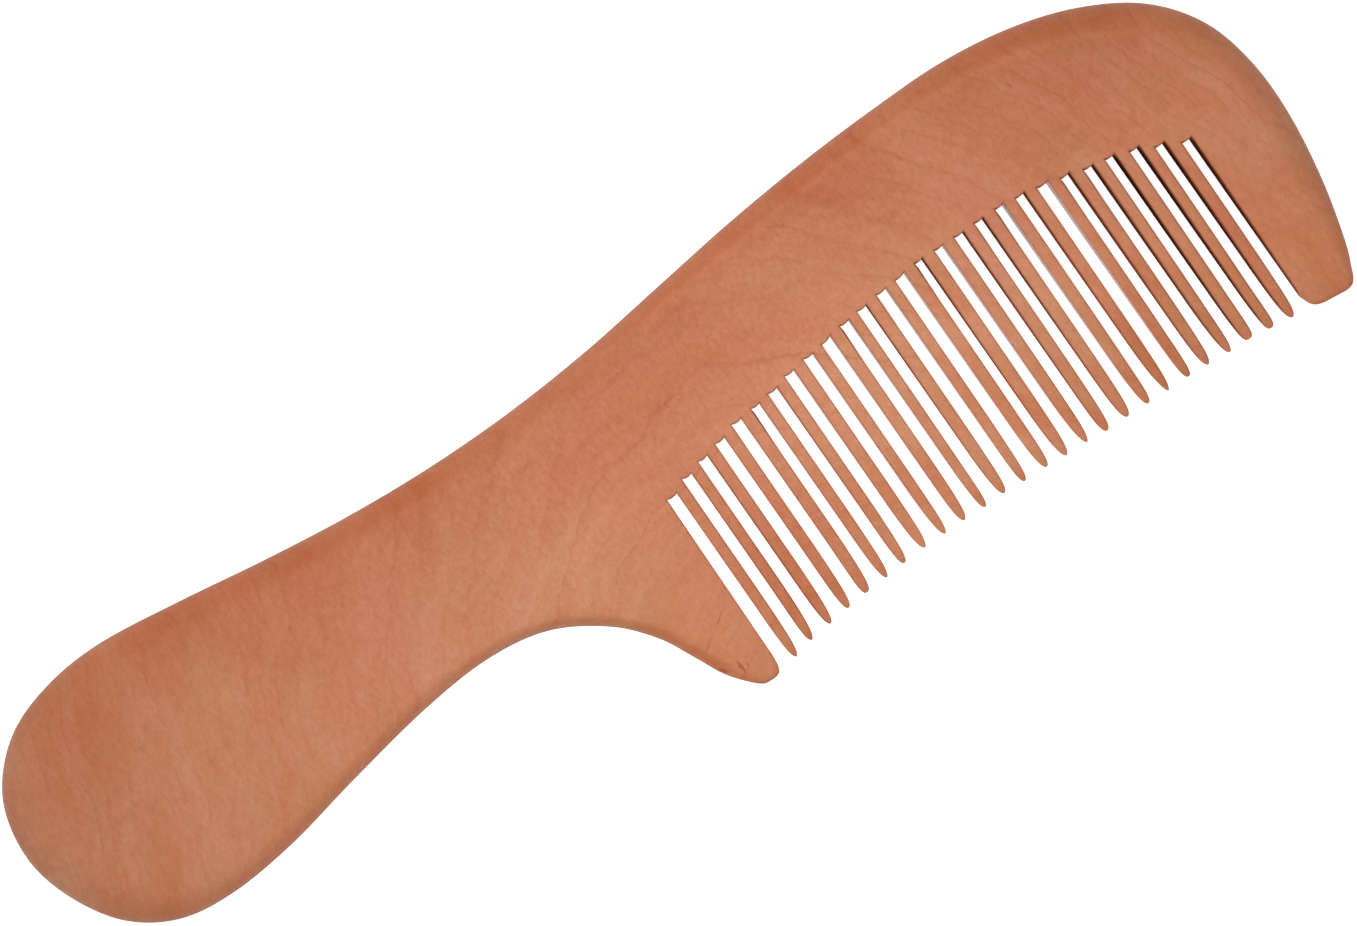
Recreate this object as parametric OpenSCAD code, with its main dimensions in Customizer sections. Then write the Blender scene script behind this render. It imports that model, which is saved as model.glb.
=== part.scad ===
// Handled wooden hair comb, sawn from one plank and lying flat.
// X runs along the comb towards its head, the teeth point along -Y, and Z is its thickness.

/* [Blank] */
// Length of the comb, from the end of the handle to the end of the head
comb_length = 182.8; // [150:0.2:220]
// Thickness of the plank
thickness = 9; // [7:0.5:12]
// Share of the thickness that stays upright at the edge, between the two rounded arrises
edge_band = 0.15; // [0.05:0.05:0.5]

/* [Teeth] */
// Number of fine teeth between the two guard teeth
tooth_count = 26; // [16:1:30]
// Width of each saw cut at its root
kerf = 1.42; // [0.8:0.02:1.6]
// Width that each saw cut gains towards the tips
kerf_flare = 0.1; // [0:0.02:0.3]
// Length of the pointed end of each tooth
point_length = 4; // [2:0.5:8]
// Radius of the guard teeth's corners, beside the first and the last saw cut
guard_corner = 1.3; // [0.5:0.1:2]

/* [Bevel] */
// Thickness left at the tips of the teeth
tip_thickness = 1.6; // [1:0.1:4]
// Distance over which both faces are thinned down to the tips
bevel_width = 30; // [20:1:34]
// How slowly the thinning starts: 1 is a flat wedge, more is a rounded one
bevel_power = 1.5; // [1:0.1:3]

/* [Hidden] */

// Columns of the outline table: place of a point, and width of the rounded arris there
X = 0;
Y = 1;
ROUND = 2;
// Outline of the blank, clockwise from the end of the handle, on a comb of the usual length
USUAL_LENGTH = 182.8;
OUTLINE = [
    [-91.4, 8.8, 4.5],
    [-89.7, 16.1, 4.5],
    [-84.6, 21.7, 4.2],
    [-77.6, 24.5, 3.8],
    [-69.0, 25.3, 3.4],
    [-57.5, 24.0, 3.4],
    [-46.0, 22.3, 3.4],
    [-34.0, 20.9, 3.4],
    [-22.0, 20.2, 3.2],
    [-10.0, 20.3, 3.0],
    [2.0, 21.2, 3.0],
    [14.0, 22.8, 3.0],
    [26.0, 24.4, 3.0],
    [38.0, 25.5, 3.0],
    [49.0, 26.0, 3.0],
    [59.0, 26.0, 3.0],
    [68.5, 24.7, 3.2],
    [77.0, 22.0, 3.6],
    [84.2, 17.7, 4.0],
    [89.0, 11.6, 4.0],
    [91.1, 4.2, 4.0],
    [91.3, -4.0, 4.0],
    [90.1, -13.0, 3.2],
    [88.2, -20.8, 2.0],
    [86.7, -24.8, 0.8],
    [84.9, -26.1, 0.6],
    [60.0, -26.0, 0.6],
    [20.0, -25.9, 0.6],
    [-1.2, -25.9, 0.6],
    [-3.6, -25.3, 0.6],
    [-6.4, -22.0, 1.2],
    [-8.4, -18.0, 1.6],
    [-10.8, -13.5, 1.6],
    [-15.0, -8.9, 1.6],
    [-21.7, -5.0, 1.6],
    [-30.0, -3.7, 1.6],
    [-40.0, -4.5, 1.8],
    [-52.0, -6.7, 2.0],
    [-63.0, -9.0, 2.2],
    [-72.5, -9.9, 2.4],
    [-80.0, -8.8, 3.2],
    [-86.0, -4.8, 4.2],
    [-90.0, 1.9, 4.5]
];
// Roots and tips of the teeth, as pairs of a place along X and the height Y there
ROOTS = [
    [0, 0.0], [6, 1.7], [13, 3.1], [22, 4.5], [31, 5.8], [42, 6.9],
    [55, 6.9], [61, 6.1], [67, 4.8], [73, 3.4], [79, 0.6]
];
TIPS = [
    [2, -25.2], [5, -24.6], [11, -23.8], [20, -23.1], [32, -23.0], [44, -23.4],
    [56, -23.8], [68, -24.2], [74, -24.7], [78, -25.2]
];
// First and last row of the outline around the tips of the two guard teeth
GUARD_ROWS = [[23, 26], [27, 30]];
// Tooth row: its two ends along X, and the line on which the guard teeth end
ROW_START = -0.1;
ROW_END = 79.7;
ROW_BOTTOM = -26;
// The bevel starts on a wide arc over the roots: the arc's radius and its highest point
BEVEL_RADIUS = 260;
BEVEL_TOP = [40, 6];
// Distance from that arc to a smaller one, below the whole comb
BEVEL_REACH = 45;
// Share of the bevel's depth by which the rounded arris comes down with it
ARRIS_FOLLOW = 0.7;

// Fineness: steps of the outline between two rows, an even number, and steps of an arris
CURVE_STEPS = 4;
ARRIS_STEPS = 4;
// Fineness of the bevel: steps down its width, and steps of the full turn that it is part of
BEVEL_STEPS = 6;
TURN_STEPS = 360;
// Degrees from one point to the next on a tooth's point or a guard's corner
POINT_ANGLE = 18;
// Distance by which a cutter reaches past the wood
OVERCUT = 5;

size = comb_length / USUAL_LENGTH;
half_thickness = thickness / 2;
row_start = size * ROW_START;
row_bottom = size * ROW_BOTTOM;
pitch = (size * (ROW_END - ROW_START) - kerf) / tooth_count;
bevel_radius = size * BEVEL_RADIUS;
bevel_centre = size * [BEVEL_TOP[X], BEVEL_TOP[Y] - BEVEL_RADIUS];
count = len(OUTLINE) * CURVE_STEPS;
half_count = count / 2;

// Smooth curve from p1 to p2, with p0 before them and p3 after them, at t from 0 to 1
function curve(p0, p1, p2, p3, t) =
    p1 + (t * (p2 - p0)
    + t * t * (2 * p0 - 5 * p1 + 4 * p2 - p3)
    + t * t * t * (3 * p1 - p0 - 3 * p2 + p3)) / 2;

// Row of the outline table at the comb's own size; the row after the last is the first
function row(i) =
    let (r = OUTLINE[(i + len(OUTLINE)) % len(OUTLINE)])
    [size * r[X], size * r[Y], r[ROUND]];

outline = [
    for (i = [0 : len(OUTLINE) - 1], step = [0 : CURVE_STEPS - 1])
    curve(row(i - 1), row(i), row(i + 1), row(i + 2), step / CURVE_STEPS)
];

// Unit vector into the wood, square to the outline
function inward(i) =
    let (ahead = outline[(i + 1) % count], behind = outline[(i + count - 1) % count])
    let (along = [ahead[X] - behind[X], ahead[Y] - behind[Y]])
    [along[Y], -along[X]] / norm(along);

// Half of the thickness that the bevel leaves, at a share of its width from 0 to 1
function bevelled(share) =
    half_thickness - (half_thickness - tip_thickness / 2) * pow(share, bevel_power);
// The same at a place on the comb, which is full thickness outside the wide arc
function half_at(place) =
    bevelled(max(0, min(1, (bevel_radius - norm(place - bevel_centre)) / bevel_width)));

// Point of the arris, from angle 0 on the upright edge to angle 90 on the flat face.
// Below the face it follows the bevel most of the way, so that the guard teeth are rounded too.
function arris_point(i, angle) =
    let (p = outline[i], inset = p[ROUND] * (1 - cos(angle)) * inward(i))
    let (place = [p[X], p[Y]] + inset)
    let (half = half_thickness + ARRIS_FOLLOW * (half_at(place) - half_thickness))
    let (height = half * (edge_band + (1 - edge_band) * sin(angle)))
    [place[X], place[Y], angle < 90 ? height : half_thickness];

upper_side = [
    for (k = [0 : ARRIS_STEPS], i = [0 : count - 1]) arris_point(i, 90 * k / ARRIS_STEPS)
];
lower_side = [for (p = upper_side) [p[X], p[Y], -p[2]]];

// Number of point i on ring k of a side
function on_ring(k, i) = k * count + i % count;

// Two triangles for four corners, given in clockwise order
function quad(a, b, c, d) = [[a, b, c], [a, c, d]];

arris_faces = [
    for (k = [0 : ARRIS_STEPS - 1], i = [0 : count - 1])
    each quad(on_ring(k, i), on_ring(k, i + 1), on_ring(k + 1, i + 1), on_ring(k + 1, i))
];

// The flat face is a ladder between the upper and the lower side of the outline, from end to end.
// Only the close points at the guard teeth's tips have fans instead, as rungs there would be slivers.
guard_fans = CURVE_STEPS * GUARD_ROWS;
function face_corner(i) = on_ring(ARRIS_STEPS, i);
// Point of the lower side that a rung joins to point i of the upper side
function rung_foot(i) =
    let (foot = count - i)
    let (skipped = [for (fan = guard_fans) if (foot > fan[0] && foot < fan[1]) fan[1]])
    len(skipped) > 0 ? skipped[0] : foot;
// Whether a triangle has three different corners, which it hasn't where two rungs share an end
function is_whole(t) = t[0] != t[1] && t[1] != t[2] && t[2] != t[0];

ladder_faces = [
    for (i = [0 : half_count - 1])
    each quad(face_corner(i), face_corner(i + 1),
        face_corner(rung_foot(i + 1)), face_corner(rung_foot(i)))
];
fan_faces = [
    for (fan = guard_fans, i = [fan[0] : fan[1] - 2])
    [face_corner(fan[1]), face_corner(i), face_corner(i + 1)]
];
flat_faces = concat([for (face = ladder_faces) if (is_whole(face)) face], fan_faces);
upper_faces = concat(arris_faces, flat_faces);
under = len(upper_side);
lower_faces = [for (f = upper_faces) [f[2] + under, f[1] + under, f[0] + under]];
band_faces = [
    for (i = [0 : count - 1])
    each quad(under + on_ring(0, i), under + on_ring(0, i + 1), on_ring(0, i + 1), on_ring(0, i))
];

// Left wall of a saw cut; the cuts are counted from the neck
function gap_x(i) = row_start + i * pitch;
// The two corners at the root of a saw cut
function gap_end(i) =
    let (x = gap_x(i), y = size * lookup((x + kerf / 2) / size, ROOTS))
    [[x, y], [x + kerf, y]];
// The point of the tooth after saw cut i, half an ellipse
function tooth_point(i) =
    let (centre = gap_x(i) + (kerf + pitch) / 2)
    let (half_width = (pitch - kerf - kerf_flare) / 2)
    let (tip = size * lookup(centre / size, TIPS))
    [
        for (angle = [0 : POINT_ANGLE : 180])
        [centre - half_width * cos(angle), tip + point_length * (1 - sin(angle))]
    ];

// Rounded corner of a guard tooth, a quarter circle around its centre
function corner(centre_x, first_angle) = [
    for (angle = [first_angle : POINT_ANGLE : first_angle + 90])
    [centre_x, row_bottom + guard_corner] + guard_corner * [cos(angle), sin(angle)]
];

// The plank sawn to its outline, with its arrises rounded
module blank() {
    polyhedron(concat(upper_side, lower_side), concat(upper_faces, lower_faces, band_faces));
}

// What is taken off the upper face to thin the teeth, turned around the centre of the wide arc
module bevel() {
    top = half_thickness + OVERCUT;
    inner = bevel_radius - size * BEVEL_REACH;
    translate([bevel_centre[X], bevel_centre[Y], 0])
        rotate_extrude($fn = TURN_STEPS)
            polygon(concat(
                [[inner, top], [inner, bevelled(1)]],
                [for (step = [BEVEL_STEPS : -1 : 0])
                    [bevel_radius - bevel_width * step / BEVEL_STEPS, bevelled(step / BEVEL_STEPS)]],
                [[bevel_radius + OVERCUT, top]]
            ));
}

// What is sawn away between and below the teeth
module tooth_space() {
    left = row_start - guard_corner;
    right = size * ROW_END + guard_corner;
    bottom = row_bottom - OVERCUT;
    translate([0, 0, -half_thickness - OVERCUT])
        linear_extrude(thickness + 2 * OVERCUT)
            polygon(concat(
                [[left, bottom]],
                corner(left, -90),
                [for (i = [0 : tooth_count - 1]) each concat(gap_end(i), tooth_point(i))],
                gap_end(tooth_count),
                corner(right, 180),
                [[right, bottom]]
            ));
}

module comb() {
    color([0.76, 0.49, 0.37])
        translate([0, 0, half_thickness])
            difference() {
                difference() {
                    blank();
                    bevel();
                    mirror([0, 0, 1])
                        bevel();
                }
                tooth_space();
            }
}

comb();
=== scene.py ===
import math
from collections import namedtuple

import bpy
import numpy as np
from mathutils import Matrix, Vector, geometry


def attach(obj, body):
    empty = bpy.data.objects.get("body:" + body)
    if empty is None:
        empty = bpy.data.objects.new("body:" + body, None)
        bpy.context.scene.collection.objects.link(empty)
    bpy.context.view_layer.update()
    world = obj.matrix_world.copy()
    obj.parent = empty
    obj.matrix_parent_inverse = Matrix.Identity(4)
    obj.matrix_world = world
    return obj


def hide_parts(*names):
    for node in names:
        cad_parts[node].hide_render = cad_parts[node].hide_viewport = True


# Looks of a handled wooden comb that lies flat on a white table and is seen from straight above.
# Shapes are worked out in millimetres in the comb's own frame: X runs along the comb to its head,
# the teeth point along -Y, and Z is up through the thickness.

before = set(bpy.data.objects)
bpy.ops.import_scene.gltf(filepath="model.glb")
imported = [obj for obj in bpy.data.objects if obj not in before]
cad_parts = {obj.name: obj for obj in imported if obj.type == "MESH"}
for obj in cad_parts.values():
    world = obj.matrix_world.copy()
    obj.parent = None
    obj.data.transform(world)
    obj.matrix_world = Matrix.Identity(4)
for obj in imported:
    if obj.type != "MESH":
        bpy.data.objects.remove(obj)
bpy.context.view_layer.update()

MM = 0.001

# Outline of the blank without the saw cuts, clockwise from the inner side of the left guard tooth.
# Columns: x, y, width of the rounded edge, and the most that the edge comes down; then, for the
# colour, the reach of the dark band along the edge, which is partly the wood's browner edge and partly
# painted shade, how dark it is (below 0 it is paler than the rest, a painted reflection of the white
# room), and how dark the wide zone behind it is.
# FREE is for an edge that only the comb's thickness holds back.
FREE = 9.0
OUTLINE = [
    (-0.12, -23.4, 0.28, 0.30, 0.8, 0.8, 0.0),
    (-0.30, -24.9, 0.32, 0.34, 0.8, 0.8, 0.0),
    (-0.80, -25.7, 0.40, 0.45, 0.9, 0.8, 0.0),
    (-2.10, -25.85, 0.50, 0.60, 1.0, 1.0, 0.0),
    (-3.60, -25.3, 0.60, 1.00, 1.2, 1.2, 0.0),
    (-6.4, -22.0, 1.2, FREE, 2.0, 1.6, 0.0),
    (-8.4, -18.0, 1.6, FREE, 2.0, 1.6, 0.0),
    (-10.8, -13.5, 1.6, FREE, 1.6, 1.8, 0.0),
    (-15.0, -8.9, 1.6, FREE, 1.4, 1.8, 0.0),
    (-21.7, -5.0, 1.6, FREE, 1.3, 1.9, 0.0),
    (-30.0, -3.7, 1.6, FREE, 1.3, 2.0, 0.0),
    (-40.0, -4.5, 1.8, FREE, 1.3, 2.0, 0.0),
    (-52.0, -6.7, 2.0, FREE, 1.5, 1.9, 0.0),
    (-63.0, -9.0, 2.2, FREE, 1.5, 1.9, 0.0),
    (-72.5, -9.9, 2.4, FREE, 1.6, 1.8, 0.0),
    (-80.0, -8.8, 3.2, FREE, 2.0, 0.6, 0.0),
    (-86.0, -4.8, 4.2, FREE, 4.0, -0.3, 0.0),
    (-90.0, 1.9, 4.5, FREE, 5.0, -0.8, 0.0),
    (-91.4, 8.8, 4.5, FREE, 5.0, -1.1, 0.0),
    (-89.7, 16.1, 4.5, FREE, 5.0, -1.3, 0.1),
    (-84.6, 21.7, 4.2, FREE, 5.0, -1.1, 0.6),
    (-77.6, 24.5, 3.8, FREE, 5.0, -0.5, 0.7),
    (-69.0, 25.3, 3.4, FREE, 4.8, 0.2, 0.7),
    (-57.5, 24.0, 3.4, FREE, 4.8, 0.9, 0.8),
    (-46.0, 22.3, 3.4, FREE, 4.8, 1.1, 1.0),
    (-34.0, 20.9, 3.4, FREE, 4.8, 1.1, 1.0),
    (-22.0, 20.2, 3.2, FREE, 4.8, 0.8, 0.9),
    (-10.0, 20.3, 3.0, FREE, 4.6, 0.6, 0.9),
    (2.0, 21.2, 3.0, FREE, 4.4, 0.6, 1.0),
    (14.0, 22.8, 3.0, FREE, 4.2, 0.6, 1.0),
    (26.0, 24.4, 3.0, FREE, 4.2, 0.8, 0.9),
    (38.0, 25.5, 3.0, FREE, 4.2, 1.0, 1.0),
    (49.0, 26.0, 3.0, FREE, 4.4, 1.1, 0.8),
    (59.0, 26.0, 3.0, FREE, 4.6, 1.1, 0.9),
    (68.5, 24.7, 3.2, FREE, 4.8, 1.2, 1.0),
    (77.0, 22.0, 3.6, FREE, 5.2, 1.1, 0.8),
    (84.2, 17.7, 4.0, FREE, 5.2, 1.0, 0.5),
    (89.0, 11.6, 4.0, FREE, 4.0, 0.8, 0.1),
    (91.1, 4.2, 4.0, FREE, 3.0, 0.0, 0.0),
    (91.3, -4.0, 4.0, FREE, 3.0, 0.0, 0.0),
    (90.1, -13.0, 3.2, FREE, 2.4, 0.2, 0.0),
    (88.2, -20.8, 2.0, FREE, 2.0, 0.3, 0.0),
    (87.0, -24.0, 1.0, FREE, 1.0, 0.6, 0.0),
    (86.3, -25.5, 0.7, 1.2, 0.8, 0.8, 0.0),
    (85.2, -26.1, 0.6, 1.0, 0.8, 0.8, 0.0),
    (83.2, -25.95, 0.55, 0.8, 0.8, 0.8, 0.0),
    (81.3, -25.7, 0.45, 0.6, 0.8, 0.8, 0.0),
    (80.2, -25.0, 0.35, 0.4, 0.8, 0.8, 0.0),
    (79.55, -23.4, 0.28, 0.30, 0.8, 0.8, 0.0),
]

# A saw cut: its left wall, its width, the height of its root, and how much higher the root is on its
# right than on its left; then how dark the left wall is at the closed end, saw scorch and painted shade
# together (above 1.0 the dark reaches farther round the edge), and how dark the right wall is, saw burn
# and painted shade together
Cut = namedtuple("Cut", "left width root slant scorch burn")
# The saw cuts, from the neck to the head
SAW_CUTS = [
    Cut(-0.10, 1.45, 0.00, 0.00, 0.0, 0.02), Cut(2.90, 1.35, 1.05, -0.05, 0.0, 0.40),
    Cut(5.80, 1.35, 1.75, 0.05, 0.0, 0.60), Cut(8.80, 1.40, 2.40, 0.05, 0.0, 0.02),
    Cut(11.80, 1.45, 3.20, -0.05, 0.5, 0.02), Cut(14.95, 1.25, 3.50, 0.00, 1.8, 0.05),
    Cut(17.75, 1.40, 3.85, 0.05, 0.0, 0.15), Cut(20.70, 1.40, 4.50, 0.00, 0.0, 0.10),
    Cut(23.80, 1.40, 4.90, -0.10, 0.0, 0.10), Cut(26.75, 1.50, 5.30, 0.35, 0.0, 0.02),
    Cut(29.90, 1.40, 5.80, 0.00, 1.7, 0.02), Cut(32.70, 1.45, 6.10, 0.00, 0.0, 0.15),
    Cut(35.85, 1.50, 6.45, 0.05, 0.6, 0.02), Cut(38.80, 1.55, 6.70, 0.25, 0.0, 0.02),
    Cut(42.00, 1.20, 7.00, 0.00, 1.7, 0.20), Cut(44.95, 1.30, 6.95, -0.05, 0.0, 0.05),
    Cut(47.90, 1.40, 6.90, -0.10, 0.0, 0.30), Cut(50.95, 1.35, 6.95, -0.05, 0.9, 0.30),
    Cut(54.05, 1.30, 6.95, 0.00, 1.2, 0.10), Cut(56.95, 1.40, 6.65, 0.05, 0.0, 0.15),
    Cut(59.90, 1.60, 6.15, -0.10, 0.0, 0.02), Cut(63.00, 1.35, 5.50, 0.00, 0.8, 0.35),
    Cut(65.95, 1.40, 4.75, -0.20, 0.9, 0.68), Cut(68.90, 1.35, 4.30, -0.15, 0.0, 1.00),
    Cut(72.00, 1.35, 3.40, -0.10, 0.0, 0.95), Cut(74.90, 1.40, 2.05, -0.05, 0.0, 0.90),
    Cut(78.00, 1.40, 0.65, -0.10, 0.0, 0.85),
]
# A tooth's tip: its height, how far it bends to the head, and how blunt it is, where 1.0 is the usual
# tip and less is more pointed
Tip = namedtuple("Tip", "height bend blunt")
# The tips of the teeth between the saw cuts, from the neck to the head
TIPS = [
    Tip(-25.20, 0.00, 0.90), Tip(-24.55, -0.15, 1.00), Tip(-24.20, 0.00, 0.90),
    Tip(-23.85, -0.05, 1.05), Tip(-23.55, -0.15, 1.30), Tip(-23.40, 0.05, 0.90),
    Tip(-23.15, -0.05, 1.10), Tip(-23.00, 0.10, 0.90), Tip(-23.00, 0.15, 0.90),
    Tip(-22.95, 0.00, 1.00), Tip(-23.05, 0.15, 1.10), Tip(-22.95, 0.10, 1.00),
    Tip(-23.15, 0.00, 1.15), Tip(-23.25, 0.15, 1.00), Tip(-23.45, 0.10, 0.90),
    Tip(-23.55, 0.15, 0.80), Tip(-23.75, 0.00, 1.20), Tip(-23.75, 0.05, 1.05),
    Tip(-23.85, 0.15, 1.05), Tip(-23.95, 0.15, 0.75), Tip(-23.90, 0.10, 1.25),
    Tip(-24.05, 0.05, 1.00), Tip(-24.30, 0.20, 0.95), Tip(-24.30, 0.15, 1.70),
    Tip(-24.70, 0.20, 1.60), Tip(-25.10, 0.10, 1.00),
]

# Height above a tooth's tip at which its straight walls end and its tapered end starts
TAPER_LENGTH = 8.0
# How full the tapered end is, and how it widens from the tip: less is quicker at first
TAPER_FULLNESS = 1.15
TAPER_POWER = 0.6
# Distances from the tip at which the tapered end has points
TIP_PLACES = [TAPER_LENGTH, 6.2, 4.8, 3.6, 2.6, 1.8, 1.2, 0.75, 0.42, 0.18, 0.05]
# How far the flat of the upper face stays back from the tip, and its least half width there
TIP_INSET = 0.32
TIP_LEAST = 0.02
# Share of the bevelled thickness that the very tip has, and the distance over which the rest is added
TIP_THICKNESS = 0.62
TIP_GROWTH = 0.8
# Width that a saw cut gains from its root to the taper of the teeth, and how far the teeth lean to
# the head over that length
CUT_FLARE = 0.06
TEETH_LEAN = 0.12
# Stretches left free of points: under a root, over a taper, and over a guard tooth's inner corner
ROOT_GAP = 0.3
TAPER_GAP = 0.4
GUARD_GAP = 0.6
# How much deeper the corners of a closed end go than its middle, the share of that by which the middle
# is lowered so that the mean depth stays, and how sharply the rounded edge turns into the corners
ROOT_EAR = 0.18
EAR_MEAN = 0.3
CORNER_POWER = 6

# How dark the closed ends are, saw burn and painted shade in these recesses, and how dark a left wall is
# as a share of the right wall of its cut
ROOT_BURN_AND_SHADE = 0.45
LEFT_BURN_AND_SHADE = 0.4
# Shaping the tips took the burn away, and the painted shade fades with it: the distance over which it
# did, and the share left at the tip
BURN_AND_SHADE_FADE = 3.0
BURN_AND_SHADE_LEFT = 0.2
# How far down a scorch and its painted shade reach, and how far a scorch of 1.0 stands out
SCORCH_AND_SHADE_REACH = 5.5
SCORCH_AND_SHADE_STEP = 0.05

# Rounding of the teeth's edges: its width, and how far it comes down
TOOTH_ROUND = 0.28
TOOTH_DROP = 0.30
# Share of that rounding, from the wall, that stayed as sawn when the rest was polished
POLISHED = 0.35
# Walls with no more burn and painted shade than this are smooth, and the others are raw
SMOOTH_BURN_AND_SHADE = 0.12
# Places of the three materials in the mesh
FACE = 0
RAW = 1
SMOOTH = 2

# Thickness: the blank, the teeth's tips, and the bevel between, which starts on a wide arc
HALF = 4.5
HALF_TIP = 0.8
BEVEL_RADIUS = 260.0
BEVEL_TOP = (40.0, 6.0)
BEVEL_WIDTH = 30.0
BEVEL_POWER = 1.5
# Share of the half thickness by which the blank's rounded edge comes down
EDGE_DROP = 0.85

# The ridge where the head's rounded edge starts, painted as a highlight, with a darker line of painted
# shade on its toothed side
RIDGE = [(-2.0, 19.2), (10.0, 20.2), (22.0, 21.4), (34.0, 22.4), (46.0, 23.0), (58.0, 22.9),
         (66.0, 21.6), (74.0, 19.2), (80.0, 16.0)]
# The narrow rim all round the blank is painted shade: browner where the edge faces the way that the
# teeth point, and greyer elsewhere, with painted reflection in it: its width, the Y of the outward way
# at the change, and how soft the change is
RIM_WIDTH = 0.45
RIM_TURN = -0.5
RIM_BLEND = 0.2

# Fineness in millimetres and steps, and the fewest steps of an outline's row and of a wall
OUTLINE_STEP = 0.9
OUTLINE_LEAST = 3
WALL_STEP = 0.8
WALL_LEAST = 4
ROOT_STEPS = 8
ROUND_STEPS = 8
UPRIGHT_STEPS = 4
RIDGE_STEPS = 40
# Grid of points inside the faces: the box that it fills, its step, the distance of its rows as a share
# of the step, and how far it stays from the edge
GRID_LOW = (-92, -28)
GRID_HIGH = (92, 27)
GRID_STEP = 1.5
GRID_ROW = 0.866
GRID_CLEARANCE = 0.75
# Tells the fill to give the triangles inside the border, and at which distance two points are one
FILL_INSIDE = 1
SAME_POINT = 1e-7
# Keeps a division by the height of a level line from failing
TINY = 1e-12
# Height of a tip for points that belong to no tooth, far below them all
NO_TIP = -99.0


def half_height(x, y):
    """Half of the thickness at a place, before the edges are rounded."""
    centre_y = BEVEL_TOP[1] - BEVEL_RADIUS
    reach = BEVEL_RADIUS - np.hypot(x - BEVEL_TOP[0], y - centre_y)
    share = np.clip(reach / BEVEL_WIDTH, 0.0, 1.0)
    return HALF - (HALF - HALF_TIP) * share ** BEVEL_POWER


def curve(p0, p1, p2, p3, t):
    """Point of a smooth curve from p1 to p2, at t from 0 to 1."""
    return p1 + 0.5 * (
        t * (p2 - p0)
        + t * t * (2 * p0 - 5 * p1 + 4 * p2 - p3)
        + t**3 * (3 * p1 - p0 - 3 * p2 + p3)
    )


def with_ends(rows):
    """The rows with one more at each end, straight on, so that a curve can start and end there."""
    rows = np.array(rows)
    return np.vstack([2 * rows[0] - rows[1], rows, 2 * rows[-1] - rows[-2]])


def blank_chain():
    """Rows of the blank's outline at an even spacing, as an open chain."""
    rows = with_ends(OUTLINE)
    chain = []
    for i in range(1, len(rows) - 2):
        length = np.hypot(*(rows[i + 1, :2] - rows[i, :2]))
        steps = max(OUTLINE_LEAST, round(length / OUTLINE_STEP))
        for step in range(steps):
            chain.append(curve(*rows[i - 1:i + 3], step / steps))
    chain.append(rows[-2])
    return np.array(chain)


def taper(d, blunt):
    """Share of its full width that a tooth has at a distance d from its tip."""
    return 1 - math.exp(-TAPER_FULLNESS * blunt * d ** (TAPER_POWER / math.sqrt(blunt)))


class Loop:
    """The comb's outline as a closed loop of points, each with its place on the rounded edge."""

    def __init__(self):
        self.outer = []
        self.inner = []
        self.drop = []
        self.tip = []
        self.sawn = []
        self.paint = []

    def add(self, outer, inner, drop, tip=NO_TIP, sawn=1.0, paint=(1.0, 0.0, 0.0)):
        """Adds a point of the upright edge and its partner inside the face.

        drop is how far the edge comes down, tip is the height of the tooth's tip, the value after it is
        how dark it is painted, burnt by the saw and in painted shade, or 0 on the blank's own outline,
        and paint holds the last three columns of OUTLINE.
        """
        self.outer.append(outer)
        self.inner.append(inner)
        self.drop.append(drop)
        self.tip.append(tip)
        self.sawn.append(sawn)
        self.paint.append(paint)

    def freeze(self):
        """Turns the lists into arrays, once all points are in."""
        self.outer = np.array(self.outer)
        self.inner = np.array(self.inner)
        self.drop = np.array(self.drop)
        self.tip = np.array(self.tip)
        self.sawn = np.array(self.sawn)
        self.paint = np.array(self.paint)


def add_blank(loop):
    """The outline from the left guard tooth round the handle and the head to the right one."""
    chain = blank_chain()
    ahead = np.roll(chain[:, :2], -1, axis=0)
    behind = np.roll(chain[:, :2], 1, axis=0)
    ahead[-1] = chain[-1, :2] + (0, 1)
    behind[0] = chain[0, :2] + (0, 1)
    along = ahead - behind
    along /= np.hypot(along[:, 0], along[:, 1])[:, None]
    inward = np.stack([along[:, 1], -along[:, 0]], axis=1)
    for row, n in zip(chain, inward):
        loop.add(row[:2], row[:2] + row[2] * n, row[3], sawn=0.0, paint=row[4:])


def add_wall(loop, root, end, side, burn, scorch=0.0):
    """One wall of a saw cut between its root and its end.

    side is the way into the wood along X: +1 for a right wall, which runs up to the root, and -1
    for a left wall, which runs down from it.
    """
    steps = max(WALL_LEAST, round((root[1] - end[1]) / WALL_STEP))
    shares = [(k + 0.5) / steps for k in range(steps)]
    if side < 0:
        shares.reverse()
    for share in shares:
        y = end[1] + share * (root[1] - end[1])
        scorch_and_shade_here = scorch * max(0.0, 1 - (root[1] - y) / SCORCH_AND_SHADE_REACH)
        x = end[0] + share * (root[0] - end[0]) - side * SCORCH_AND_SHADE_STEP * scorch_and_shade_here
        loop.add((x, y), (x + side * TOOTH_ROUND, y), TOOTH_DROP, sawn=max(burn, scorch_and_shade_here))


def add_root(loop, cut):
    """The closed end of a saw cut, from its right wall to its left wall. Its corners go deepest."""
    for k in range(ROOT_STEPS + 1):
        share = k / ROOT_STEPS
        across = 2 * share - 1
        x = cut.left + cut.width * (1 - share)
        y = cut.root + ROOT_EAR * (across**2 - EAR_MEAN) - cut.slant / 2 * across
        corner = abs(across) ** CORNER_POWER
        side = 1.0 if across < 0 else -1.0
        inner = (x + side * TOOTH_ROUND * corner, y + TOOTH_ROUND)
        loop.add((x, y), inner, TOOTH_DROP, sawn=ROOT_BURN_AND_SHADE)


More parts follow.
